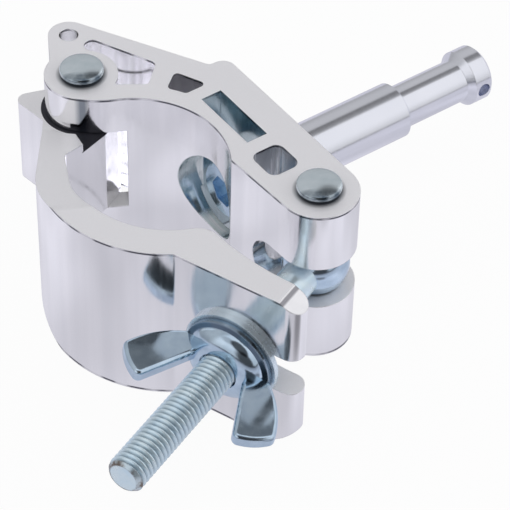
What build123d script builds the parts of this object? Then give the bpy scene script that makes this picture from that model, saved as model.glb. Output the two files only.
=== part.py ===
from build123d import *
import os
from math import asin, atan2, cos, hypot, pi, radians, sin

# Tube clamp with spigot. Millimetres. The origin is on the tube axis at half height,
# +Z runs along the tube and +X along the spigot. Plan points are (x, y).

# Driving dimensions

TUBE_R = 25.0
HEIGHT = 50.0
HALF = HEIGHT / 2
SPIGOT_R = 7.9375
SPIGOT_REACH = 71.6
BOLT_R = 5.0
PIN_R = 4.0
STRAP_T = 8.5

# Fits

RUNNING = 0.05
SIDE_GAP = 0.3
EYE_GAP = 0.35
WASHER_GAP = 0.25
SCREW_GAP = 0.25

# Clamp body

BORE_WALL = 5.5
SADDLE_END = -31.9
MOUNT_FACE = TUBE_R + 18.4
MOUNT_WALL = 8.9
MOUNT_SEAT = MOUNT_FACE - MOUNT_WALL
MOUNT_TOP = TUBE_R - 4.7

# Hinge and pivot, as distances from the tube axis

HINGE_OUT = TUBE_R + 12.41
HINGE_ANGLE = 77.34
EAR_R = PIN_R + 6.0
EAR_RELIEF_R = EAR_R + 2.0
KNUCKLE_R = EAR_R - 0.2
KNUCKLE_Z = HALF - 11.7
NOTCH_R = EAR_R + 5.4
NOTCH_Z = KNUCKLE_Z + SIDE_GAP
PIVOT_LUG_R = PIN_R + 6.5
PIVOT_X = MOUNT_FACE - PIVOT_LUG_R
PIVOT_Y = -TUBE_R - 9.8
PIN_HEAD_R = PIN_R + 1.9
PIN_HEAD_H = 3.0
PIN_BORE_R = PIN_R + RUNNING

# Safety lug

LUG_OUT = EAR_R + 6.36
LUG_ANGLE = 69.24
LUG_HOLE_R = 2.6
LUG_R = LUG_HOLE_R + 2.95

# Swing bolt, the direction of its axis in plan, and the nut on it

BOLT_ANGLE = 201.9
ARM_FACE = TUBE_R + 14.4
BOLT_END = ARM_FACE + 48.6
EYE_R = PIN_R + 5.0
EYE_Z = BOLT_R + 1.4
BOLT_SLOT_Z = EYE_Z + EYE_GAP
BOLT_SLOT_END = PIVOT_Y + EYE_R + 3.4
WASHER_R = BOLT_R + 8.2
WASHER_T = 1.6
NUT_FLANGE_R = BOLT_R + 7.2
NUT_FLANGE_T = 1.6
NUT_HUB_R = BOLT_R + 4.3
NUT_HUB_H = 5.5
NUT_TURN = -11.0
WING_T = 4.0

# Strap, its arc centred beside the tube axis

ARC_X = 8.3
ARC_Y = -4.3
ARC_IN_R = TUBE_R + 0.8
ARC_OUT_R = ARC_IN_R + STRAP_T
ARM_END = 18.2
ARM_END_R = 3.7
FORK_Z = BOLT_R + 1.0
FORK_END = -BOLT_R - 2.5
TAIL_R = 2.6

# Spigot and its screw

ACCESS_R = 11.9
SCREW_R = 5.0
SCREW_HOLE_R = SCREW_R + SCREW_GAP
SCREW_HEAD_R = SCREW_R + 3.0
SCREW_HEAD_H = 6.5
SCREW_HEX = 8.0
SCREW_REACH = 16.0
SPIGOT_END = MOUNT_FACE + SPIGOT_REACH
SPIGOT_HEAD = SPIGOT_END - 5.9
SPIGOT_NECK_R = SPIGOT_R - 1.84
SPIGOT_NECK_END = SPIGOT_HEAD - 1.7
SPIGOT_SHOULDER = SPIGOT_NECK_END - 21.4
CROSS_HOLE_X = SPIGOT_END - 3.3
CROSS_HOLE_R = 2.0


# Plan geometry

def polar(centre, radius, angle):
    """Point at a distance and an angle in degrees from a centre."""
    turn = radians(angle)
    return (centre[0] + radius * cos(turn), centre[1] + radius * sin(turn))


AXIS = (0.0, 0.0)
HINGE = polar(AXIS, HINGE_OUT, HINGE_ANGLE)
PIVOT = (PIVOT_X, PIVOT_Y)
LUG = polar(HINGE, LUG_OUT, LUG_ANGLE)
ARC = (ARC_X, ARC_Y)


def meet(first, r1, second, r2, side):
    """Crossing of two circles, side +1 for the one left of the line between the centres."""
    dx = second[0] - first[0]
    dy = second[1] - first[1]
    gap = hypot(dx, dy)
    along = (gap * gap + r1 * r1 - r2 * r2) / (2 * gap)
    off = side * (r1 * r1 - along * along) ** 0.5
    return (
        first[0] + (along * dx - off * dy) / gap,
        first[1] + (along * dy + off * dx) / gap,
    )


def on_bolt(s, t):
    """Plan point at distance s along the bolt from the pivot and t across it."""
    bx = cos(radians(BOLT_ANGLE))
    by = sin(radians(BOLT_ANGLE))
    return (PIVOT[0] + s * bx - t * by, PIVOT[1] + s * by + t * bx)


def outline(stations):
    """Face inside circles joined by tangents, run anticlockwise.

    Each station is a centre and a signed radius: positive bulges out, negative
    hollows in, and zero is a sharp corner.
    """
    headings = []
    for (c1, r1), (c2, r2) in zip(stations, stations[1:] + stations[:1]):
        gap = hypot(c2[0] - c1[0], c2[1] - c1[1])
        tilt = asin(max(-1.0, min(1.0, (r2 - r1) / gap)))
        headings.append(atan2(c2[1] - c1[1], c2[0] - c1[0]) - tilt)

    def touch(station, heading):
        (cx, cy), r = station
        return (cx + r * sin(heading), cy - r * cos(heading))

    edges = []
    first = touch(stations[0], headings[-1])
    here = first
    for i, station in enumerate(stations):
        arrive = headings[i - 1]
        leave = headings[i]
        radius = station[1]
        sweep = (leave - arrive) % (2 * pi)
        if radius < 0:
            sweep -= 2 * pi
        end = touch(station, leave)
        if radius != 0 and hypot(end[0] - here[0], end[1] - here[1]) > 1e-4:
            edges.append(ThreePointArc(here, touch(station, arrive + sweep / 2), end))
            here = end
        after = first
        if i < len(stations) - 1:
            after = touch(stations[i + 1], leave)
        if hypot(after[0] - here[0], after[1] - here[1]) > 1e-4:
            edges.append(Line(here, after))
            here = after
    return make_face(Wire(edges))


def slab(face, low, high):
    """Plan face raised from one height to another."""
    return Pos(0, 0, low) * extrude(face, amount=high - low)


def disc(centre, radius, low, high):
    """Upright cylinder between two heights."""
    return slab(Pos(*centre) * Circle(radius), low, high)


def box(x0, x1, y0, y1, z0, z1):
    """Box given by its two corners."""
    size = Box(x1 - x0, y1 - y0, z1 - z0)
    return Pos((x0 + x1) / 2, (y0 + y1) / 2, (z0 + z1) / 2) * size


def turned(profile):
    """Solid turned about Z from closed (radius, height) points."""
    return revolve(make_face(Plane.XZ * Polyline(*profile, close=True)), Axis.Z)


def bolt_frame():
    """Frame on the pivot with its Z along the bolt and its Y along the tube."""
    bx = cos(radians(BOLT_ANGLE))
    by = sin(radians(BOLT_ANGLE))
    return Plane(origin=(*PIVOT, 0), x_dir=(-by, bx, 0), z_dir=(bx, by, 0))


# Clamp body

def body_profile():
    """Plan of the extruded body, without its windows."""
    blend_r = 24.0
    valley_r = 3.0
    corner_r = 3.5
    notch_r = 2.0
    knee = polar(AXIS, TUBE_R, SADDLE_END)
    blend = meet(AXIS, TUBE_R + blend_r, HINGE, blend_r - EAR_R, -1)
    return outline([
        (knee, 0),
        (PIVOT, PIVOT_LUG_R),
        ((MOUNT_FACE - corner_r, MOUNT_TOP - corner_r), corner_r),
        ((MOUNT_FACE - 4.2, MOUNT_TOP + notch_r), -notch_r),
        (LUG, LUG_R),
        (polar(HINGE, EAR_R + valley_r, 119), -valley_r),
        (HINGE, EAR_R),
        (blend, blend_r),
        (AXIS, -TUBE_R),
    ])


def hinge_window():
    """Void between the bore wall, the ear and the outer wall."""
    web_r = EAR_R - 0.4
    back_r = TUBE_R + BORE_WALL
    small = 0.8
    strut_r = 1.5
    return outline([
        (polar(AXIS, back_r + strut_r, 51), strut_r),
        (polar(AXIS, TUBE_R + 13.4, 50.4), 2.0),
        (polar(HINGE, web_r + 2.3, 43), 2.3),
        (HINGE, -web_r),
        (meet(HINGE, web_r + small, AXIS, back_r + small, 1), small),
        (AXIS, -back_r),
    ])


def strut_window():
    """Four sided void behind the upper end of the mounting wall."""
    corners = (
        polar(AXIS, TUBE_R + 4.7, 29.0),
        polar(AXIS, TUBE_R + 11.2, 23.4),
        polar(AXIS, TUBE_R + 12.0, 38.9),
        polar(AXIS, TUBE_R + 4.0, 39.1),
    )
    shape = make_face(Polyline(*corners, close=True)) - Circle(TUBE_R + 5.0)
    return fillet(shape.vertices(), 1.3)


def pivot_window():
    """Rounded void between the bore wall and the pivot lug."""
    shape = Pos(*polar(AXIS, TUBE_R + 11.16, -32.92)) * Rectangle(9.1, 9.9)
    return fillet(shape.vertices(), 2.5)


def clamp_body():
    body = slab(body_profile(), -HALF, HALF)
    for window in (hinge_window(), strut_window(), pivot_window()):
        body -= slab(window, -HALF, HALF)
    room = SCREW_HEAD_R + 2.3
    body -= box(TUBE_R + 3.3, MOUNT_SEAT, -room, room, -HALF, HALF)
    body -= disc(HINGE, NOTCH_R, -NOTCH_Z, NOTCH_Z) - slab(outer_wall(), -NOTCH_Z, NOTCH_Z)
    body -= disc(HINGE, PIN_R, -HALF, HALF)
    body -= disc(PIVOT, PIN_R, -HALF, HALF)
    body -= disc(LUG, LUG_HOLE_R, -HALF, HALF)
    body -= Plane.YZ * Pos(0, 0, TUBE_R - 10) * extrude(Circle(ACCESS_R), amount=14)
    body -= Plane.YZ * Pos(0, 0, TUBE_R + 5) * extrude(Circle(SCREW_HOLE_R), amount=20)
    return body - bolt_slot()


def outer_wall():
    """Plan of the sloping outer wall and its lug, which the hinge notch leaves whole."""
    return outline([
        ((MOUNT_FACE - 3.2, MOUNT_TOP + 2.0), 1.0),
        (LUG, LUG_R),
        (polar(HINGE, 11.9, 43), -2.3),
        (polar(AXIS, TUBE_R + 14.5, 47.9), 0),
    ])


def bolt_slot():
    """Slot along X with a round end, open towards -Y, that the swing bolt lies in."""
    round_y = BOLT_SLOT_END - BOLT_SLOT_Z
    start = TUBE_R - 10
    end = MOUNT_FACE + 5
    low = PIVOT_Y - PIVOT_LUG_R - 5
    top = Plane.YZ * Pos(round_y, 0, start) * extrude(Circle(BOLT_SLOT_Z), amount=end - start)
    return top + box(start, end, low, round_y, -BOLT_SLOT_Z, BOLT_SLOT_Z)


# Strap

def strap_profile():
    """Plan of the extruded strap."""
    step_r = 1.0
    inner_r = 80.0
    heel_r = 6.0
    throat = (ARC_X + 2.6, ARC_Y + 11.2)
    throat_r = ARC_IN_R - 2.8
    nook_r = 3.0
    face = on_bolt(ARM_FACE + step_r, 0)
    along = on_bolt(ARM_FACE + step_r, 1)
    way = (along[0] - face[0], along[1] - face[1])
    rel = (ARC[0] - face[0], ARC[1] - face[1])
    mid = rel[0] * way[0] + rel[1] * way[1]
    off = abs(rel[0] * way[1] - rel[1] * way[0])
    reach = mid + ((ARC_OUT_R + step_r) ** 2 - off**2) ** 0.5
    end = on_bolt(ARM_FACE - ARM_END_R, ARM_END - ARM_END_R)
    heel = polar(ARC, ARC_IN_R + heel_r, -112)
    return outline([
        (polar(HINGE, EAR_R + 5.13, 133.9), TAIL_R),
        (polar(HINGE, EAR_R + 2.81, 172.4), -step_r),
        (ARC, ARC_OUT_R),
        (on_bolt(ARM_FACE + step_r, reach), -step_r),
        (end, ARM_END_R),
        (meet(heel, inner_r + heel_r, end, inner_r + ARM_END_R, 1), -inner_r),
        (heel, heel_r),
        (ARC, -ARC_IN_R),
        (throat, -throat_r),
        (polar(throat, throat_r - nook_r, 149.5), -nook_r),
        (polar(AXIS, TUBE_R, 73.5), 0),
        (polar(HINGE, EAR_R + 0.7, -65.1), 0),
        (HINGE, KNUCKLE_R),
    ])


def strap():
    part = slab(strap_profile(), -HALF, HALF)
    for side in (1, -1):
        part -= slope_cut(side)
        part -= corner_cut(side)
    part -= disc(HINGE, PIN_BORE_R, -HALF, HALF)
    return part - fork_slot()


def slope_cut(side):
    """Wedge above the face that falls from full height to the knuckle, and the ear relief."""
    facing = 65.1
    drop = HALF - KNUCKLE_Z
    low = HINGE[0] * cos(radians(facing)) + HINGE[1] * sin(radians(facing)) - 7.6
    high = low - 3.695 * drop
    wedge = make_face(Polyline(
        (high, HALF),
        (low, KNUCKLE_Z),
        (low + 60, KNUCKLE_Z),
        (low + 60, HALF + 5),
        (high, HALF + 5),
        close=True,
    ))
    cut = Rot(0, 0, facing) * Pos(0, 60, 0) * extrude(Plane.XZ * wedge, amount=120)
    relief = Circle(EAR_RELIEF_R) + make_face(Polyline(
        (-9.9, -15.7), (6.8, -15.7), (6.8, -6.5), (-7.7, -7.5), (-8.5, -10.5), close=True,
    ))
    cut += slab(Pos(*HINGE) * relief, KNUCKLE_Z, HALF + 5)
    return cut if side > 0 else mirror(cut, Plane.XY)


def corner_cut(side):
    """Wedge off the corner at the free end of the arm."""
    depth = 3.0 if side > 0 else 5.0
    start = 12.3
    length = ARM_END - start
    wedge = make_face(Polyline(
        (start, HALF), (start + 2 * length, HALF - 2 * depth), (start + 2 * length, HALF + 5),
        (start, HALF + 5), close=True,
    ))
    cut = bolt_frame() * Pos(0, 0, ARM_FACE - 20) * extrude(wedge, amount=30)
    return cut if side > 0 else mirror(cut, Plane.XY)


def fork_slot():
    """Slot at the end of the arm that the swing bolt drops into."""
    slot = box(FORK_END, ARM_END + 10, -FORK_Z, FORK_Z, ARM_FACE - 20, ARM_FACE + 15)
    return bolt_frame() * slot


# Pins

def pin(centre):
    """Pin with a low domed head on top, flush below."""
    rim = HALF + 0.9
    rise = HALF + PIN_HEAD_H - rim
    dome_r = (PIN_HEAD_R**2 + rise**2) / (2 * rise)
    half_turn = asin(PIN_HEAD_R / dome_r) / 2
    crown = (0, HALF + PIN_HEAD_H)
    shoulder = (dome_r * sin(half_turn), crown[1] - dome_r * (1 - cos(half_turn)))
    side = Polyline(
        (0, -HALF),
        (PIN_R, -HALF),
        (PIN_R, HALF),
        (PIN_HEAD_R - 0.6, HALF),
        (PIN_HEAD_R, HALF + 0.5),
        (PIN_HEAD_R, rim),
    )
    dome = ThreePointArc((PIN_HEAD_R, rim), shoulder, crown)
    shape = make_face(Plane.XZ * Wire([*side.edges(), dome, Line(crown, (0, -HALF))]))
    return Pos(*centre) * revolve(shape, Axis.Z)


# Swing bolt, washer and wing nut

def swing_bolt():
    eye = Sphere(EYE_R) & Box(4 * EYE_R, 2 * EYE_Z, 4 * EYE_R)
    shank = turned([
        (0, 0),
        (BOLT_R, 0),
        (BOLT_R, BOLT_END - 1),
        (BOLT_R - 1, BOLT_END),
        (0, BOLT_END),
    ])
    bolt = eye + shank
    bolt -= Rot(90, 0, 0) * Cylinder(PIN_BORE_R, 40)
    return bolt_frame() * bolt


def washer():
    bore = BOLT_R + WASHER_GAP
    top = ARM_FACE + WASHER_T
    ring = turned([(bore, ARM_FACE), (WASHER_R, ARM_FACE), (WASHER_R, top), (bore, top)])
    return bolt_frame() * ring


def wing():
    """One wing in the XZ plane, its root buried in the hub."""
    seat = ARM_FACE + WASHER_T
    root = (6.5, seat + 0.8)
    foot = (NUT_FLANGE_R - 0.4, seat + 0.8)
    outer = (22.6, seat + 14.6)
    inner = (14.0, seat + 21.0)
    hip = (7.0, seat + 5.6)
    edges = [
        Line(root, foot),
        ThreePointArc(foot, (17.4, seat + 5.6), outer),
        ThreePointArc(outer, (18.9, seat + 18.6), inner),
        ThreePointArc(inner, (10.4, seat + 13.2), hip),
        Line(hip, root),
    ]
    shape = make_face(Wire(edges))
    tips = shape.vertices().sort_by(Axis.Y)[-2:]
    shape = fillet(tips, 1.8)
    blade = extrude(Plane.XZ * shape, amount=WING_T / 2, both=True)
    rims = blade.edges().filter_by(lambda e: abs(abs(e.center().Y) - WING_T / 2) < 1e-3)
    return fillet(rims, 1.1)


def wing_nut():
    seat = ARM_FACE + WASHER_T
    bore = BOLT_R + RUNNING
    top = seat + NUT_HUB_H
    hub = turned([
        (0, seat),
        (NUT_FLANGE_R, seat),
        (NUT_FLANGE_R, seat + NUT_FLANGE_T),
        (NUT_FLANGE_R - 1.6, seat + NUT_FLANGE_T + 0.6),
        (NUT_HUB_R, seat + 3.0),
        (NUT_HUB_R - 2.3, top),
        (0, top),
    ])
    blade = wing()
    nut = hub
    for turn in (NUT_TURN, NUT_TURN + 180):
        nut += Rot(0, 0, turn) * blade
    nut -= turned([
        (0, seat - 1),
        (bore, seat - 1),
        (bore, top - 0.9),
        (bore + 0.9, top),
        (bore + 0.9, top + 20),
        (0, top + 20),
    ])
    return bolt_frame() * nut


# Spigot and its screw

def spigot():
    relief = 0.5
    shape = turned([
        (0, MOUNT_FACE),
        (SPIGOT_R, MOUNT_FACE),
        (SPIGOT_R, SPIGOT_SHOULDER - 0.4),
        (SPIGOT_R - 0.4, SPIGOT_SHOULDER),
        (SPIGOT_NECK_R - 0.2, SPIGOT_SHOULDER),
        (SPIGOT_NECK_R - 0.2, SPIGOT_SHOULDER + relief),
        (SPIGOT_NECK_R, SPIGOT_SHOULDER + relief + 0.2),
        (SPIGOT_NECK_R, SPIGOT_NECK_END),
        (SPIGOT_R, SPIGOT_HEAD),
        (SPIGOT_R, SPIGOT_END - 0.8),
        (SPIGOT_R - 0.8, SPIGOT_END),
        (0, SPIGOT_END),
    ])
    shape -= Pos(0, 0, MOUNT_FACE) * extrude(Circle(SCREW_R), amount=SCREW_REACH + 1.5)
    shape = Plane.YZ * shape
    return shape - Pos(CROSS_HOLE_X, 0, 0) * Rot(90, 0, 0) * Cylinder(CROSS_HOLE_R, 4 * SPIGOT_R)


def spigot_screw():
    face = MOUNT_SEAT - SCREW_HEAD_H
    tip = MOUNT_FACE + SCREW_REACH
    shape = turned([
        (0, face),
        (SCREW_HEAD_R - 0.5, face),
        (SCREW_HEAD_R, face + 0.5),
        (SCREW_HEAD_R, MOUNT_SEAT),
        (SCREW_R, MOUNT_SEAT),
        (SCREW_R, tip),
        (0, tip),
    ])
    corner = SCREW_HEX / 2 / cos(pi / 6)
    shape -= Pos(0, 0, face) * extrude(RegularPolygon(corner, 6), amount=4.0)
    return Plane.YZ * shape


# Output

os.makedirs("parts", exist_ok=True)
export_step(clamp_body(), "parts/clamp_body.step")
export_step(strap(), "parts/strap.step")
export_step(pin(HINGE), "parts/hinge_pin.step")
export_step(pin(PIVOT), "parts/pivot_pin.step")
export_step(swing_bolt(), "parts/swing_bolt.step")
export_step(washer(), "parts/washer.step")
export_step(wing_nut(), "parts/wing_nut.step")
export_step(spigot(), "parts/spigot.step")
export_step(spigot_screw(), "parts/spigot_screw.step")
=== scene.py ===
import bpy
import bmesh
import math
from mathutils import Matrix, Vector


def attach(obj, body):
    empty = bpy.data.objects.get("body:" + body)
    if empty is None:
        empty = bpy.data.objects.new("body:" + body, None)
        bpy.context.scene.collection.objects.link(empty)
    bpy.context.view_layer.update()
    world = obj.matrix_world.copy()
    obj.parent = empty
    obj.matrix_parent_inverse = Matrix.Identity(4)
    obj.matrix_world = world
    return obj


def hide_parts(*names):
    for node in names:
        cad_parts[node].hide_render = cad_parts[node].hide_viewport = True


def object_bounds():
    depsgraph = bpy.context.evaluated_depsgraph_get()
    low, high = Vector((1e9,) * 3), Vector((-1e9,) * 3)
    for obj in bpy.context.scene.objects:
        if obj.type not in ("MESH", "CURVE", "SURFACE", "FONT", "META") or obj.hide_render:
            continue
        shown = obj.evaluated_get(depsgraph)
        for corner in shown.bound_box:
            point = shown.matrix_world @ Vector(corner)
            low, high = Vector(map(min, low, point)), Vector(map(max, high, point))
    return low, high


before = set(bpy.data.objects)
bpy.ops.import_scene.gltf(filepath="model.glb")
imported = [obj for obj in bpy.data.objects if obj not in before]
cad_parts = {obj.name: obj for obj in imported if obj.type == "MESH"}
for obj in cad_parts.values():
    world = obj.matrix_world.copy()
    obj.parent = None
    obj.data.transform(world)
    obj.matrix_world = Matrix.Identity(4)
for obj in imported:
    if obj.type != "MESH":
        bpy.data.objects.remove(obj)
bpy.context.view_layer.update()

# Dimensions in metres, in the frame of the solids

MM = 0.001
HINGE = Vector((0.0082, 0.0365, 0.0))
PIVOT = Vector((0.0329, -0.0348, 0.0))
SEAT_R = 25.0 * MM
END_Z = 25.0 * MM
KNUCKLE_Z = 13.3 * MM
RECESS_R = 11.2 * MM
V_REACH = 18.5 * MM
ACCESS_R = 11.9 * MM
PIN_R = 4.0 * MM
NUT_SEAT = 41.0 * MM
NUT_FLANGE_R = 12.2 * MM
NUT_FLANGE_H = 1.6 * MM
NUT_BELL_R = 10.9 * MM
NUT_BELL_H = 5.8 * MM
PIN_HEAD_R = 5.9 * MM
PIN_HEAD_H = 3.0 * MM
BOLT_ANGLE = math.radians(201.9)
BOLT_DIR = Vector((math.cos(BOLT_ANGLE), math.sin(BOLT_ANGLE), 0.0))
BOLT_R = 5.0 * MM
BOLT_END = 88.0 * MM
EYE_R = 9.0 * MM
EYE_Z = 6.4 * MM
EYE_BORE_R = PIN_R + 0.05 * MM
THREAD_START = 24.0 * MM
THREAD_PITCH = 1.5 * MM
THREAD_DEPTH = 0.8 * MM
CHAMFER = 1.0 * MM

# Half the groove's width as a share of the pitch, and the fineness of the meshes

GROOVE_HALF = 0.42
ROWS_PER_TURN = 9
SEGMENTS = 64
SHARP_ANGLE = math.radians(40)

# Camera

CAMERA_PLACE = (-0.2593, -0.3966, 0.4598)
CAMERA_RIGHT = (0.8102, -0.5858, 0.0199)
CAMERA_UP = (0.4001, 0.5776, 0.7116)
CAMERA_FORWARD = (0.4284, 0.5685, -0.7023)
CAMERA_LENS = 178.5

# Level direction towards the camera

FRONT = (-0.5, -0.86, 0.0)

# Painted light and shade on the body's walls near upright lines, in the windows and the safety
# hole, and a painted dark reflection on the front of the ear: place and reach of each line, and its
# tone

PAINTED_LIGHT_AND_SHADE = (
    # Windows: painted light in the first, painted shade in the others
    (0.0155, 0.0465, 0.0130, (1.0, 1.0, 1.0, 1)),
    (0.0280, 0.0190, 0.0080, (0.86, 0.86, 0.865, 1)),
    (0.0330, 0.0010, 0.0095, (0.66, 0.73, 0.75, 1)),
    (0.0310, -0.0200, 0.0075, (0.85, 0.86, 0.87, 1)),
    # Safety hole: painted light
    (0.0140, 0.0518, 0.0028, (0.985, 0.985, 0.985, 1)),
    # Front of the ear: painted dark reflection
    (0.0029, 0.0281, 0.0007, (0.30, 0.33, 0.38, 1)),
)

# Colours of the finishes, with the darker and lighter tone of each, and of the marks on them. The
# edge tone is a painted highlight, the edge-line tone a painted reflection, and the under-head,
# notch, gap, head and root tones are painted shade.

WALL_TONE = ((0.90, 0.90, 0.91), (0.98, 0.975, 0.98))
CUT_TONE = ((0.89, 0.885, 0.905, 1), (0.99, 0.985, 1.0, 1))
EDGE_HIGHLIGHT = (0.98, 0.98, 0.99, 1)
PLATING_TONE = ((0.48, 0.61, 0.74, 1), (0.61, 0.75, 0.87, 1))
PIN_TONE = ((0.68, 0.77, 0.81, 1), (0.78, 0.86, 0.90, 1))
THREAD_TONE = ((0.70, 0.88, 1.0, 1), (0.82, 0.95, 1.0, 1))
WASHER_TONE = ((0.70, 0.83, 0.92, 1), (0.80, 0.91, 0.98, 1))
CHROME_TONE = ((0.82, 0.84, 0.90, 1), (0.90, 0.91, 0.96, 1))
UNDER_HEAD_SHADE = (0.10, 0.11, 0.13, 1)
EDGE_REFLECTION_SHADE = (0.10, 0.10, 0.12, 1)
BORED_SHADE = (0.62, 0.70, 0.70, 1)
NOTCH_SHADE = (0.03, 0.03, 0.04, 1)
GAP_SHADE = (0.13, 0.18, 0.24, 1)
HEAD_SHADE = (0.12, 0.16, 0.20, 1)
ROOT_SHADE = (0.16, 0.24, 0.30, 1)
WORN_SHADE = (0.20, 0.17, 0.15, 1)

# Depth of the surfaces' relief, and radii of their softened edges

BUMP_DEPTH = 0.02 * MM
ALUMINIUM_EDGE = 0.4 * MM
ZINC_EDGE = 0.3 * MM
CHROME_EDGE = 0.2 * MM

# Floor and background: what the camera sees, and what is seen in reflections

FLOOR_SIZE = 6.0
FLOOR_DROP = 0.2 * MM
FLOOR_MATT = (0.8, 0.8, 0.8, 1)
FLOOR_SEEN = 0.95
FLOOR_PALE = (0.635, 0.63, 0.70, 1)
SKY_SEEN = 0.97
SKY_LEVELS = (0.66, 0.92)
SKY_COLOR = (0.97, 0.97, 1.0, 1)

# Spots where the floor's reflected light differs: place, core and rim radius, factor

FLOOR_SPOTS = (
    (0.014, 0.052, 0.010, 0.018, 2.0),
    (0.046, 0.002, 0.008, 0.020, 0.35),
    (0.040, -0.085, 0.020, 0.050, 1.25),
    (0.0325, -0.0175, 0.004, 0.010, 0.75),
    (0.017, 0.030, 0.006, 0.011, 2.60),
    (-0.006, 0.012, 0.006, 0.014, 1.20),
    (0.003, -0.112, 0.012, 0.026, 0.40),
    (-0.045, 0.062, 0.025, 0.060, 1.20),
)

# Dark patches of the world: direction, cosines of their rim and core, level in the core

DARK_PATCHES = (
    ((0.0, 1.0, 0.0), (0.10, 0.36), 0.60),
    ((0.46, 0.22, 0.86), (0.960, 0.990), 0.30),
    ((-0.25, -0.60, 0.76), (0.85, 0.93), 0.12),
    ((-0.52, -0.10, 0.85), (0.93, 0.98), 0.65),
    ((-0.45, -0.88, 0.12), (0.80, 0.93), 0.12),
)

# Lamps: name, place, point that they face, size and power

AIM = (0.02, -0.01, 0.0)
LAMPS = (
    ("key", (-0.5, -0.3, 0.9), AIM, (0.7, 0.7), 2.2),
    ("fill", (0.7, -0.6, 0.5), AIM, (0.6, 0.6), 1.2),
    ("back", (0.1, 0.8, 0.6), AIM, (0.8, 0.5), 1.2),
    # Inside the tube seat, for the ledge by the hinge
    ("gap", (0.0, -0.004, 0.016), (0.014, 0.028, -0.0133), (0.008, 0.008), 0.007),
)


def make_camera():
    data = bpy.data.cameras.new("camera")
    data.lens = CAMERA_LENS
    data.sensor_width = 36.0
    data.clip_start = 0.01
    data.clip_end = 20.0
    camera = bpy.data.objects.new("camera", data)
    turn = Matrix((CAMERA_RIGHT, CAMERA_UP, [-v for v in CAMERA_FORWARD])).transposed()
    camera.matrix_world = Matrix.Translation(CAMERA_PLACE) @ turn.to_4x4()
    bpy.context.scene.collection.objects.link(camera)
    bpy.context.scene.camera = camera


# Finishes

class Nodes:
    """Short way to build the node tree of a material, or of the world."""

    def __init__(self, owner, output="ShaderNodeOutputMaterial"):
        self.owner = owner
        self.owner.use_nodes = True
        self.tree = self.owner.node_tree
        self.tree.nodes.clear()
        self.out = self.add(output)

    def add(self, kind, inputs=None, **settings):
        node = self.tree.nodes.new(kind)
        for key, value in settings.items():
            setattr(node, key, value)
        for key, value in (inputs or {}).items():
            if isinstance(value, bpy.types.NodeSocket):
                self.tree.links.new(value, node.inputs[key])
            else:
                node.inputs[key].default_value = value
        return node

    def math(self, operation, a, b=0.0):
        return self.add("ShaderNodeMath", {0: a, 1: b}, operation=operation).outputs[0]

    def vector(self, operation, a, b):
        """Result of a vector operation that gives a vector."""
        return self.add("ShaderNodeVectorMath", {0: a, 1: b}, operation=operation).outputs["Vector"]

    def measure(self, operation, a, b=(0.0, 0.0, 0.0)):
        """Result of a vector operation that gives a number."""
        return self.add("ShaderNodeVectorMath", {0: a, 1: b}, operation=operation).outputs["Value"]

    def axis(self, vector, name):
        return self.add("ShaderNodeSeparateXYZ", {0: vector}).outputs[name]

    def noise(self, vector, scale, detail=3.0, roughness=0.5):
        inputs = {"Vector": vector, "Scale": scale, "Detail": detail, "Roughness": roughness}
        return self.add("ShaderNodeTexNoise", inputs).outputs["Fac"]

    def spread(self, value, low, high, out_low, out_high, **settings):
        """Value carried from one range to another, and held at its ends."""
        inputs = {
            "Value": value,
            "From Min": low,
            "From Max": high,
            "To Min": out_low,
            "To Max": out_high,
        }
        return self.add("ShaderNodeMapRange", inputs, **settings).outputs[0]

    def mix(self, factor, a, b):
        node = self.add("ShaderNodeMix", data_type="RGBA")
        for index, value in ((0, factor), (6, a), (7, b)):
            if isinstance(value, bpy.types.NodeSocket):
                self.tree.links.new(value, node.inputs[index])
            else:
                node.inputs[index].default_value = value
        return node.outputs[2]

    def stretched(self, scale):
        """Object coordinates scaled by a vector, for streaks along one axis."""
        coords = self.add("ShaderNodeTexCoord").outputs["Object"]
        return self.add("ShaderNodeMapping", {"Vector": coords, "Scale": scale}).outputs[0]

    def rounded(self, radius):
        """Direction of a face, bent over its edges as if they were rounded."""
        return self.add("ShaderNodeBevel", {"Radius": radius}, samples=4).outputs[0]

    def surface(self, shader):
        """Joins the shader to the output, and gives back the material or world."""
        self.tree.links.new(shader.outputs[0], self.out.inputs["Surface"])
        return self.owner

    def finish(self, color, metallic, roughness, height, strength, rounded):
        """Ends a finish: its colour, metal and roughness, and a bump over rounded edges."""
        bump = self.add("ShaderNodeBump", {
            "Height": height,
            "Strength": strength,
            "Distance": BUMP_DEPTH,
            "Normal": rounded,
        })
        return self.surface(self.add("ShaderNodeBsdfPrincipled", {
            "Base Color": color,
            "Metallic": metallic,
            "Roughness": roughness,
            "Normal": bump.outputs[0],
        }))


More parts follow.
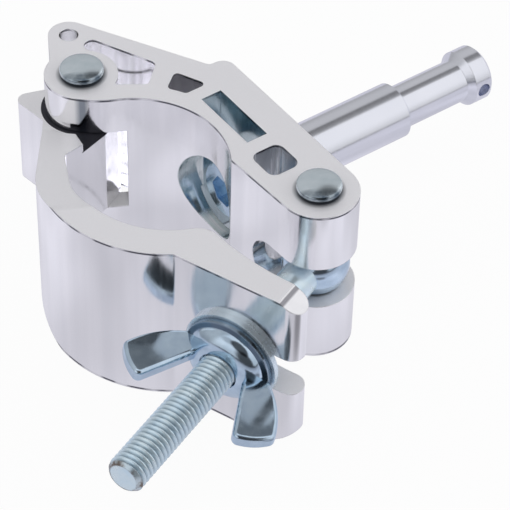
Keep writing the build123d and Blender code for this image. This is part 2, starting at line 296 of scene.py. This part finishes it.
def extruded_aluminium(name, tint, bored=False, shaded_notch=False):
    """Bright extruded walls, matt sawn ends, told apart by the face's own direction."""
    n = Nodes(bpy.data.materials.new(name))
    coords = n.add("ShaderNodeTexCoord")
    place = coords.outputs["Object"]
    direction = coords.outputs["Normal"]
    tilt = n.math("ABSOLUTE", n.axis(direction, "Z"))
    end = n.spread(tilt, 0.86, 0.97, 0.0, 1.0)
    grain = n.noise(place, 2600.0, 4.0, 0.6)
    streak = n.noise(n.stretched((900.0, 900.0, 14.0)), 1.0, 3.0)
    band = n.spread(n.noise(n.stretched((150.0, 150.0, 4.0)), 1.0, 2.0), 0.35, 0.65, 0.0, 1.0)
    dark_wall, pale_wall = [tuple(c * tint for c in tone) + (1,) for tone in WALL_TONE]
    wall = n.mix(band, dark_wall, pale_wall)
    # Painted light and shade in the windows and safety hole, and a painted dark reflection on the
    # front of the ear
    if bored:
        for x, y, reach, tone in PAINTED_LIGHT_AND_SHADE:
            wall = n.mix(near_line(n, place, x, y, reach), wall, tone)
    # Painted dark reflection, a broken line just under the sawn ends
    wall = n.mix(edge_reflection_line(n, place), wall, EDGE_REFLECTION_SHADE)
    rounded = n.rounded(ALUMINIUM_EDGE)
    # Painted highlight along the rounded edges of the sawn ends
    edge = edge_highlight_mask(n, rounded)
    cut = n.mix(grain, *CUT_TONE)
    cut = n.mix(edge, cut, EDGE_HIGHLIGHT)
    # Painted shadow under and around the pin heads, on the sawn end
    if bored:
        for pin in (HINGE, PIVOT):
            under_head = near_line(n, place, pin.x, pin.y, PIN_HEAD_R - 0.4 * MM)
            cut = n.mix(under_head, cut, UNDER_HEAD_SHADE)
    color = n.mix(end, wall, cut)
    if bored:
        color = n.mix(bore_mask(n, place), color, BORED_SHADE)
    # Painted shade in the strap's notch and under the ear
    if shaded_notch:
        color = n.mix(notch_mask(n, place, direction, tilt), color, NOTCH_SHADE)
    wall_rough = n.spread(streak, 0.3, 0.7, 0.10, 0.18)
    end_rough = n.spread(grain, 0.3, 0.7, 0.40, 0.54)
    shallow = n.math("MULTIPLY", streak, 0.25)
    height = n.add("ShaderNodeMix", {0: end, 2: shallow, 3: grain}).outputs[0]
    rough = n.add("ShaderNodeMix", {0: end, 2: wall_rough, 3: end_rough}).outputs[0]
    metallic = n.spread(end, 0.0, 1.0, 1.0, 0.5)
    return n.finish(color, metallic, rough, height, 0.25, rounded)


def near_line(n, place, x, y, reach):
    """One near the vertical line at x and y, outside the tube seat, zero beyond."""
    flat = n.vector("MULTIPLY", place, (1, 1, 0))
    distance = n.measure("DISTANCE", flat, (x, y, 0.0))
    outside = n.math("GREATER_THAN", n.measure("LENGTH", flat), SEAT_R + 0.4 * MM)
    return n.math("MULTIPLY", n.spread(distance, reach, reach + 1.5 * MM, 1.0, 0.0), outside)


def edge_highlight_mask(n, rounded):
    """Marks the rounded edge, where the rounded direction leaves the face's own, for a painted
    highlight.
    """
    face = n.add("ShaderNodeNewGeometry").outputs["Normal"]
    return n.spread(n.measure("DOT_PRODUCT", rounded, face), 0.90, 0.995, 1.0, 0.0)


def bore_mask(n, place):
    """Marks the wall of the turned access hole, with its rings."""
    radius = n.measure("LENGTH", n.vector("MULTIPLY", place, (0, 1, 1)))
    off_wall = n.math("ABSOLUTE", n.math("SUBTRACT", radius, ACCESS_R))
    on_wall = n.math("LESS_THAN", off_wall, 0.15 * MM)
    outside = n.math("GREATER_THAN", n.axis(place, "X"), 15.0 * MM)
    rings = n.spread(n.noise(n.stretched((3800.0, 20.0, 20.0)), 1.0, 3.0), 0.35, 0.65, 0.2, 1.0)
    return n.math("MULTIPLY", n.math("MULTIPLY", on_wall, outside), rings)


def edge_reflection_line(n, place):
    """Broken dark line on the walls, just under the sawn ends: a painted dark reflection of the
    rounded edge.
    """
    height = n.math("ABSOLUTE", n.axis(place, "Z"))
    low = n.spread(height, END_Z - 0.9 * MM, END_Z - 0.65 * MM, 0.0, 1.0)
    high = n.spread(height, END_Z - 0.3 * MM, END_Z - 0.15 * MM, 1.0, 0.0)
    broken = n.spread(n.noise(place, 160.0, 2.0), 0.40, 0.56, 0.15, 1.0)
    return n.math("MULTIPLY", n.math("MULTIPLY", low, high), broken)


def notch_mask(n, place, direction, tilt):
    """Marks the faces of the strap's recess that get a painted shade: a ring under the ear, the V
    beside it.
    """
    flat = n.vector("MULTIPLY", n.vector("SUBTRACT", HINGE, place), (1, 1, 0))
    distance = n.measure("LENGTH", flat)
    facing = n.measure("DOT_PRODUCT", flat, direction)
    beside = n.math("MULTIPLY", n.math("GREATER_THAN", n.axis(flat, "Y"), 6.5 * MM),
                    n.math("LESS_THAN", n.axis(flat, "X"), 10.0 * MM))
    v_shape = n.math("MULTIPLY", beside, n.math("LESS_THAN", distance, V_REACH))
    near = n.math("MAXIMUM", v_shape, n.math("LESS_THAN", distance, RECESS_R))
    height = n.axis(place, "Z")
    above = n.math("GREATER_THAN", height, KNUCKLE_Z - 0.2 * MM)
    floor = n.math("LESS_THAN", height, KNUCKLE_Z + 0.2 * MM)
    upright = n.math("LESS_THAN", tilt, 0.5)
    wall = n.math("MULTIPLY", n.math("GREATER_THAN", facing, 0.5 * MM), upright)
    faces = n.math("MAXIMUM", floor, wall)
    return n.math("MULTIPLY", n.math("MULTIPLY", near, above), faces)


def zinc(name, tone, rough, metallic=1.0, gap=False, head=False, threaded=False):
    """Blue-white plating, slightly uneven, with the painted shade that a piece needs and the bolt's
    worn rim.
    """
    n = Nodes(bpy.data.materials.new(name))
    place = n.add("ShaderNodeTexCoord").outputs["Object"]
    cloud = n.spread(n.noise(place, 260.0, 3.0), 0.3, 0.7, 0.0, 1.0)
    fine = n.noise(place, 3000.0, 3.0)
    color = n.mix(cloud, *tone)
    # Painted shade in the gap under the hub
    if gap:
        color = n.mix(gap_mask(n, place), color, GAP_SHADE)
    # Painted shade on the front of a pin's head
    if head:
        color = n.mix(head_mask(n, place), color, HEAD_SHADE)
    # Painted shade in the thread's root, and the bolt's worn rim
    if threaded:
        color = n.mix(root_mask(n, place), color, ROOT_SHADE)
        color = n.mix(worn_mask(n, place), color, WORN_SHADE)
    roughness = n.spread(cloud, 0.0, 1.0, rough, rough + 0.1)
    return n.finish(color, metallic, roughness, fine, 0.2, n.rounded(ZINC_EDGE))


def gap_mask(n, place):
    """Marks the ring of nut and washer under the hub, where the shade is painted."""
    offset = n.vector("SUBTRACT", place, PIVOT)
    along = n.measure("DOT_PRODUCT", offset, BOLT_DIR)
    radius = n.measure("LENGTH", n.vector("CROSS_PRODUCT", offset, BOLT_DIR))
    inner = n.math("GREATER_THAN", radius, NUT_BELL_R - 0.3 * MM)
    outer = n.spread(radius, NUT_FLANGE_R - 0.4 * MM, NUT_FLANGE_R + 0.6 * MM, 1.0, 0.0)
    low = n.math("LESS_THAN", along, NUT_SEAT + 2.1 * MM)
    front = n.math("GREATER_THAN", along, NUT_SEAT - 0.1 * MM)
    return n.math("MULTIPLY", n.math("MULTIPLY", inner, outer), n.math("MULTIPLY", low, front))


def head_mask(n, place):
    """Marks the front of a pin's head, unevenly, in the pin's own frame, for a painted shade."""
    head = n.math("GREATER_THAN", n.axis(place, "Z"), END_Z + 0.1 * MM)
    front = n.measure("DOT_PRODUCT", place, FRONT)
    low = n.spread(front, 2.4 * MM, 3.8 * MM, 0.0, 1.0)
    uneven = n.spread(n.noise(place, 260.0, 2.0), 0.40, 0.60, 0.45, 1.0)
    return n.math("MULTIPLY", n.math("MULTIPLY", head, low), uneven)


def root_mask(n, place):
    """Marks the thread's root for a painted shade, in the bolt's own frame."""
    radius = n.measure("LENGTH", n.vector("MULTIPLY", place, (1, 1, 0)))
    root = n.spread(radius, BOLT_R - THREAD_DEPTH, BOLT_R - 0.25 * THREAD_DEPTH, 0.75, 0.0)
    before_end = n.math("LESS_THAN", n.axis(place, "Z"), BOLT_END - 0.9 * MM)
    return n.math("MULTIPLY", root, before_end)


def worn_mask(n, place):
    """Marks the bolt's chamfered rim, bare and stained, in the bolt's own frame."""
    radius = n.measure("LENGTH", n.vector("MULTIPLY", place, (1, 1, 0)))
    rim = n.spread(radius, 3.55 * MM, 3.95 * MM, 0.0, 1.0)
    at_end = n.math("GREATER_THAN", n.axis(place, "Z"), BOLT_END - 1.2 * MM)
    uneven = n.spread(n.noise(place, 520.0, 3.0), 0.40, 0.60, 0.25, 1.0)
    return n.math("MULTIPLY", n.math("MULTIPLY", rim, at_end), uneven)


def turned_chrome(name):
    """Bright plating over fine turning marks that run round the X axis."""
    n = Nodes(bpy.data.materials.new(name))
    rings = n.noise(n.stretched((5200.0, 30.0, 30.0)), 1.0, 4.0)
    cloud = n.noise(n.add("ShaderNodeTexCoord").outputs["Object"], 90.0, 2.0)
    color = n.mix(cloud, *CHROME_TONE)
    roughness = n.spread(rings, 0.3, 0.7, 0.14, 0.21)
    return n.finish(color, 1.0, roughness, rings, 0.12, n.rounded(CHROME_EDGE))


# Swing bolt

def bolt_matrix():
    """Frame on the pivot: X across the bolt, Y along the tube, Z along the bolt."""
    across = Vector((-BOLT_DIR.y, BOLT_DIR.x, 0.0))
    turn = Matrix((across, (0, 0, 1), BOLT_DIR)).transposed()
    return Matrix.Translation(PIVOT) @ turn.to_4x4()


def thread_radius(along, angle):
    """Radius of the threaded shank, with its run-out and its chamfered end.

    The groove is GROOVE_HALF of a pitch wide to each side of its root.
    """
    phase = (along / THREAD_PITCH - angle / (2 * math.pi)) % 1.0
    groove = max(0.0, 1.0 - abs(phase - 0.5) / GROOVE_HALF)
    fade = min(1.0, max(0.0, (along - THREAD_START) / THREAD_PITCH))
    radius = BOLT_R - THREAD_DEPTH * groove * fade
    chamfer = BOLT_R - max(0.0, along - (BOLT_END - CHAMFER))
    return min(radius, chamfer)


def threaded_shank():
    """Grid wrapped round the bolt's axis, closed by a disc at the end."""
    rows = int((BOLT_END - THREAD_START) / (THREAD_PITCH / ROWS_PER_TURN))
    heights = [0.0, EYE_R * 0.5, THREAD_START]
    heights += [THREAD_START + (BOLT_END - THREAD_START) * (i + 1) / rows for i in range(rows)]
    mesh = bmesh.new()
    rings = []
    for along in heights:
        ring = []
        for k in range(SEGMENTS):
            angle = 2 * math.pi * k / SEGMENTS
            r = thread_radius(along, angle)
            ring.append(mesh.verts.new((r * math.cos(angle), r * math.sin(angle), along)))
        rings.append(ring)
    for low, high in zip(rings, rings[1:]):
        for k in range(SEGMENTS):
            m = (k + 1) % SEGMENTS
            mesh.faces.new((low[k], low[m], high[m], high[k]))
    mesh.faces.new(rings[-1])
    mesh.faces.new(list(reversed(rings[0])))
    return mesh


def eye_mesh():
    """Ball flattened on two sides with the pin's hole through it."""
    mesh = bmesh.new()
    bmesh.ops.create_uvsphere(
        mesh, u_segments=SEGMENTS, v_segments=SEGMENTS // 2, radius=EYE_R,
    )
    bmesh.ops.rotate(mesh, verts=mesh.verts, matrix=Matrix.Rotation(math.pi / 2, 3, "X"))
    for side in (1, -1):
        cut = bmesh.ops.bisect_plane(
            mesh,
            geom=mesh.verts[:] + mesh.edges[:] + mesh.faces[:],
            plane_co=(0, side * EYE_Z, 0),
            plane_no=(0, side, 0),
            clear_outer=True,
        )
        edges = [e for e in cut["geom_cut"] if isinstance(e, bmesh.types.BMEdge)]
        rim = sorted({v for e in edges for v in e.verts}, key=lambda v: math.atan2(v.co.z, v.co.x))
        hole = []
        for v in rim:
            flat = Vector((v.co.x, 0, v.co.z)).normalized() * EYE_BORE_R
            hole.append(mesh.verts.new((flat.x, side * EYE_Z, flat.z)))
        for k in range(len(rim)):
            m = (k + 1) % len(rim)
            mesh.faces.new((rim[k], rim[m], hole[m], hole[k]))
    bmesh.ops.recalc_face_normals(mesh, faces=mesh.faces)
    return mesh


# Pins and the nut's hub

def pin_profile():
    """Radius and height of the pin: shank, short neck and button head with a low dome."""
    neck_r = PIN_R + 0.5 * MM
    side = END_Z + 1.6 * MM
    edge_r = 0.8 * MM
    points = [
        (0.0, -END_Z),
        (PIN_R, -END_Z),
        (PIN_R, END_Z),
        (neck_r, END_Z),
        (neck_r, END_Z + 0.6 * MM),
        (PIN_HEAD_R - 0.3 * MM, END_Z + 0.8 * MM),
        (PIN_HEAD_R, END_Z + 1.1 * MM),
        (PIN_HEAD_R, side),
    ]
    for k in range(1, 6):
        turn = math.radians(75) * k / 5
        points.append((PIN_HEAD_R - edge_r * (1 - math.cos(turn)), side + edge_r * math.sin(turn)))
    rim_r, rim_z = points[-1]
    for k in range(1, 9):
        r = rim_r * (1 - k / 8)
        points.append((r, rim_z + (END_Z + PIN_HEAD_H - rim_z) * (1 - (r / rim_r) ** 2)))
    return points


def bell_profile():
    """Radius and height of the nut's rounded hub, over the flange."""
    mouth_r = BOLT_R + 0.4 * MM
    base = NUT_SEAT + NUT_FLANGE_H
    points = []
    for k in range(13):
        turn = math.radians(90) * k / 12
        r = mouth_r + (NUT_BELL_R - mouth_r) * math.cos(turn)
        points.append((r, base + (NUT_BELL_H - NUT_FLANGE_H) * math.sin(turn)))
    return points


def lathed(profile):
    """Mesh of a profile of radii and heights turned about the Z axis."""
    mesh = bmesh.new()
    line = [mesh.verts.new((r, 0.0, z)) for r, z in profile]
    edges = [mesh.edges.new(pair) for pair in zip(line, line[1:])]
    bmesh.ops.spin(
        mesh,
        geom=line + edges,
        axis=(0, 0, 1),
        cent=(0, 0, 0),
        angle=2 * math.pi,
        steps=SEGMENTS,
        use_merge=True,
    )
    bmesh.ops.remove_doubles(mesh, verts=mesh.verts, dist=1e-7)
    bmesh.ops.recalc_face_normals(mesh, faces=mesh.faces)
    return mesh


def add_piece(name, mesh, material, body, matrix):
    data = bpy.data.meshes.new(name)
    mesh.to_mesh(data)
    mesh.free()
    data.shade_smooth()
    data.set_sharp_from_angle(angle=SHARP_ANGLE)
    piece = bpy.data.objects.new(name, data)
    piece.matrix_world = matrix
    data.materials.append(material)
    bpy.context.scene.collection.objects.link(piece)
    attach(piece, body)
    return piece


# Stage

def backdrop(name):
    """White floor for the camera, matt for lamps, pale in reflections and darker in front."""
    n = Nodes(bpy.data.materials.new(name))
    path = n.add("ShaderNodeLightPath")
    place = n.add("ShaderNodeTexCoord").outputs["Object"]
    matt = n.add("ShaderNodeBsdfDiffuse", {"Color": FLOOR_MATT})
    white = n.add("ShaderNodeEmission", {"Color": (1, 1, 1, 1), "Strength": 1.0})
    seen = n.math("MULTIPLY", path.outputs["Is Camera Ray"], FLOOR_SEEN)
    direct = n.add("ShaderNodeMixShader", {0: seen, 1: matt.outputs[0], 2: white.outputs[0]})
    fall = n.spread(n.measure("DOT_PRODUCT", place, FRONT), 0.12, 0.40, 1.0, 0.12)
    cloud = n.spread(n.noise(place, 22.0, 1.0), 0.3, 0.7, 0.9, 1.12)
    level = n.math("MULTIPLY", fall, cloud)
    for x, y, core, rim, factor in FLOOR_SPOTS:
        distance = n.measure("DISTANCE", place, (x, y, 0.0))
        level = n.math("MULTIPLY", level, n.spread(distance, core, rim, factor, 1.0))
    pale = n.add("ShaderNodeEmission", {"Color": FLOOR_PALE, "Strength": level})
    glossy = path.outputs["Is Glossy Ray"]
    shader = n.add("ShaderNodeMixShader", {0: glossy, 1: direct.outputs[0], 2: pale.outputs[0]})
    return n.surface(shader)


def make_floor():
    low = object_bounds()[0].z
    bpy.ops.mesh.primitive_plane_add(size=FLOOR_SIZE, location=(0, 0, low - FLOOR_DROP))
    floor = bpy.context.object
    floor.name = "floor"
    floor.data.materials.append(backdrop("floor_white"))


def area(name, place, aim, size, power):
    """Lamp that lights matt faces and shows in no reflection."""
    data = bpy.data.lights.new(name, "AREA")
    data.shape = "RECTANGLE"
    data.size, data.size_y = size
    data.energy = power
    lamp = bpy.data.objects.new(name, data)
    lamp.location = place
    lamp.visible_camera = False
    lamp.visible_glossy = False
    lamp.rotation_mode = "QUATERNION"
    lamp.rotation_quaternion = (Vector(aim) - Vector(place)).to_track_quat("-Z", "Y")
    bpy.context.scene.collection.objects.link(lamp)


def make_world():
    """White for the camera, pale in reflections and brighter overhead, with dark patches."""
    world = bpy.data.worlds.new("studio")
    bpy.context.scene.world = world
    n = Nodes(world, "ShaderNodeOutputWorld")
    smooth = {"interpolation_type": "SMOOTHSTEP"}
    coords = n.add("ShaderNodeTexCoord").outputs["Generated"]
    level = n.spread(n.axis(coords, "Z"), -0.1, 0.55, *SKY_LEVELS, **smooth)
    for direction, (rim, core), dark in DARK_PATCHES:
        facing = n.measure("DOT_PRODUCT", coords, Vector(direction).normalized())
        level = n.math("MULTIPLY", level, n.spread(facing, rim, core, 1.0, dark, **smooth))
    camera_ray = n.add("ShaderNodeLightPath").outputs["Is Camera Ray"]
    seen = n.add("ShaderNodeMix", {0: camera_ray, 2: level, 3: SKY_SEEN}).outputs[0]
    n.surface(n.add("ShaderNodeBackground", {"Color": SKY_COLOR, "Strength": seen}))


# Camera, finishes and pieces

make_camera()
body_metal = extruded_aluminium("body_aluminium", 1.0, bored=True)
strap_metal = extruded_aluminium("strap_aluminium", 0.99, shaded_notch=True)
plating = zinc("zinc_plating", PLATING_TONE, 0.07)
nut_plating = zinc("nut_plating", PLATING_TONE, 0.07, gap=True)
pin_plating = zinc("pin_plating", PIN_TONE, 0.12, head=True)
thread_plating = zinc("thread_plating", THREAD_TONE, 0.18, metallic=0.65, threaded=True)
washer_plating = zinc("washer_plating", WASHER_TONE, 0.22, metallic=0.75, gap=True)
chrome = turned_chrome("spigot_chrome")
finishes = {
    "clamp_body": body_metal,
    "strap": strap_metal,
    "hinge_pin": pin_plating,
    "pivot_pin": pin_plating,
    "washer": washer_plating,
    "wing_nut": nut_plating,
    "spigot": chrome,
    "spigot_screw": plating,
    "swing_bolt": plating,
}
for node, material in finishes.items():
    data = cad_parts[node].data
    data.materials.clear()
    data.materials.append(material)

shank = add_piece("bolt_shank", threaded_shank(), thread_plating, "swing_bolt", bolt_matrix())
eye = add_piece("bolt_eye", eye_mesh(), plating, "swing_bolt", bolt_matrix())
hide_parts("swing_bolt")
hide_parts("swing_bolt")
for node, place in (("hinge_pin", HINGE), ("pivot_pin", PIVOT)):
    turned = lathed(pin_profile())
    pin = add_piece(node + "_turned", turned, pin_plating, "body", Matrix.Translation(place))
    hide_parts(node)

bell = add_piece("nut_bell", lathed(bell_profile()), plating, "wing_nut", bolt_matrix())

# Floor, background and lamps

make_floor()
make_world()
for lamp_values in LAMPS:
    area(*lamp_values)

scene = bpy.context.scene
scene.view_settings.view_transform = "Standard"
# The bright walls of the windows face one another, so that rays need many bounces
scene.cycles.max_bounces = 20
scene.cycles.glossy_bounces = 18
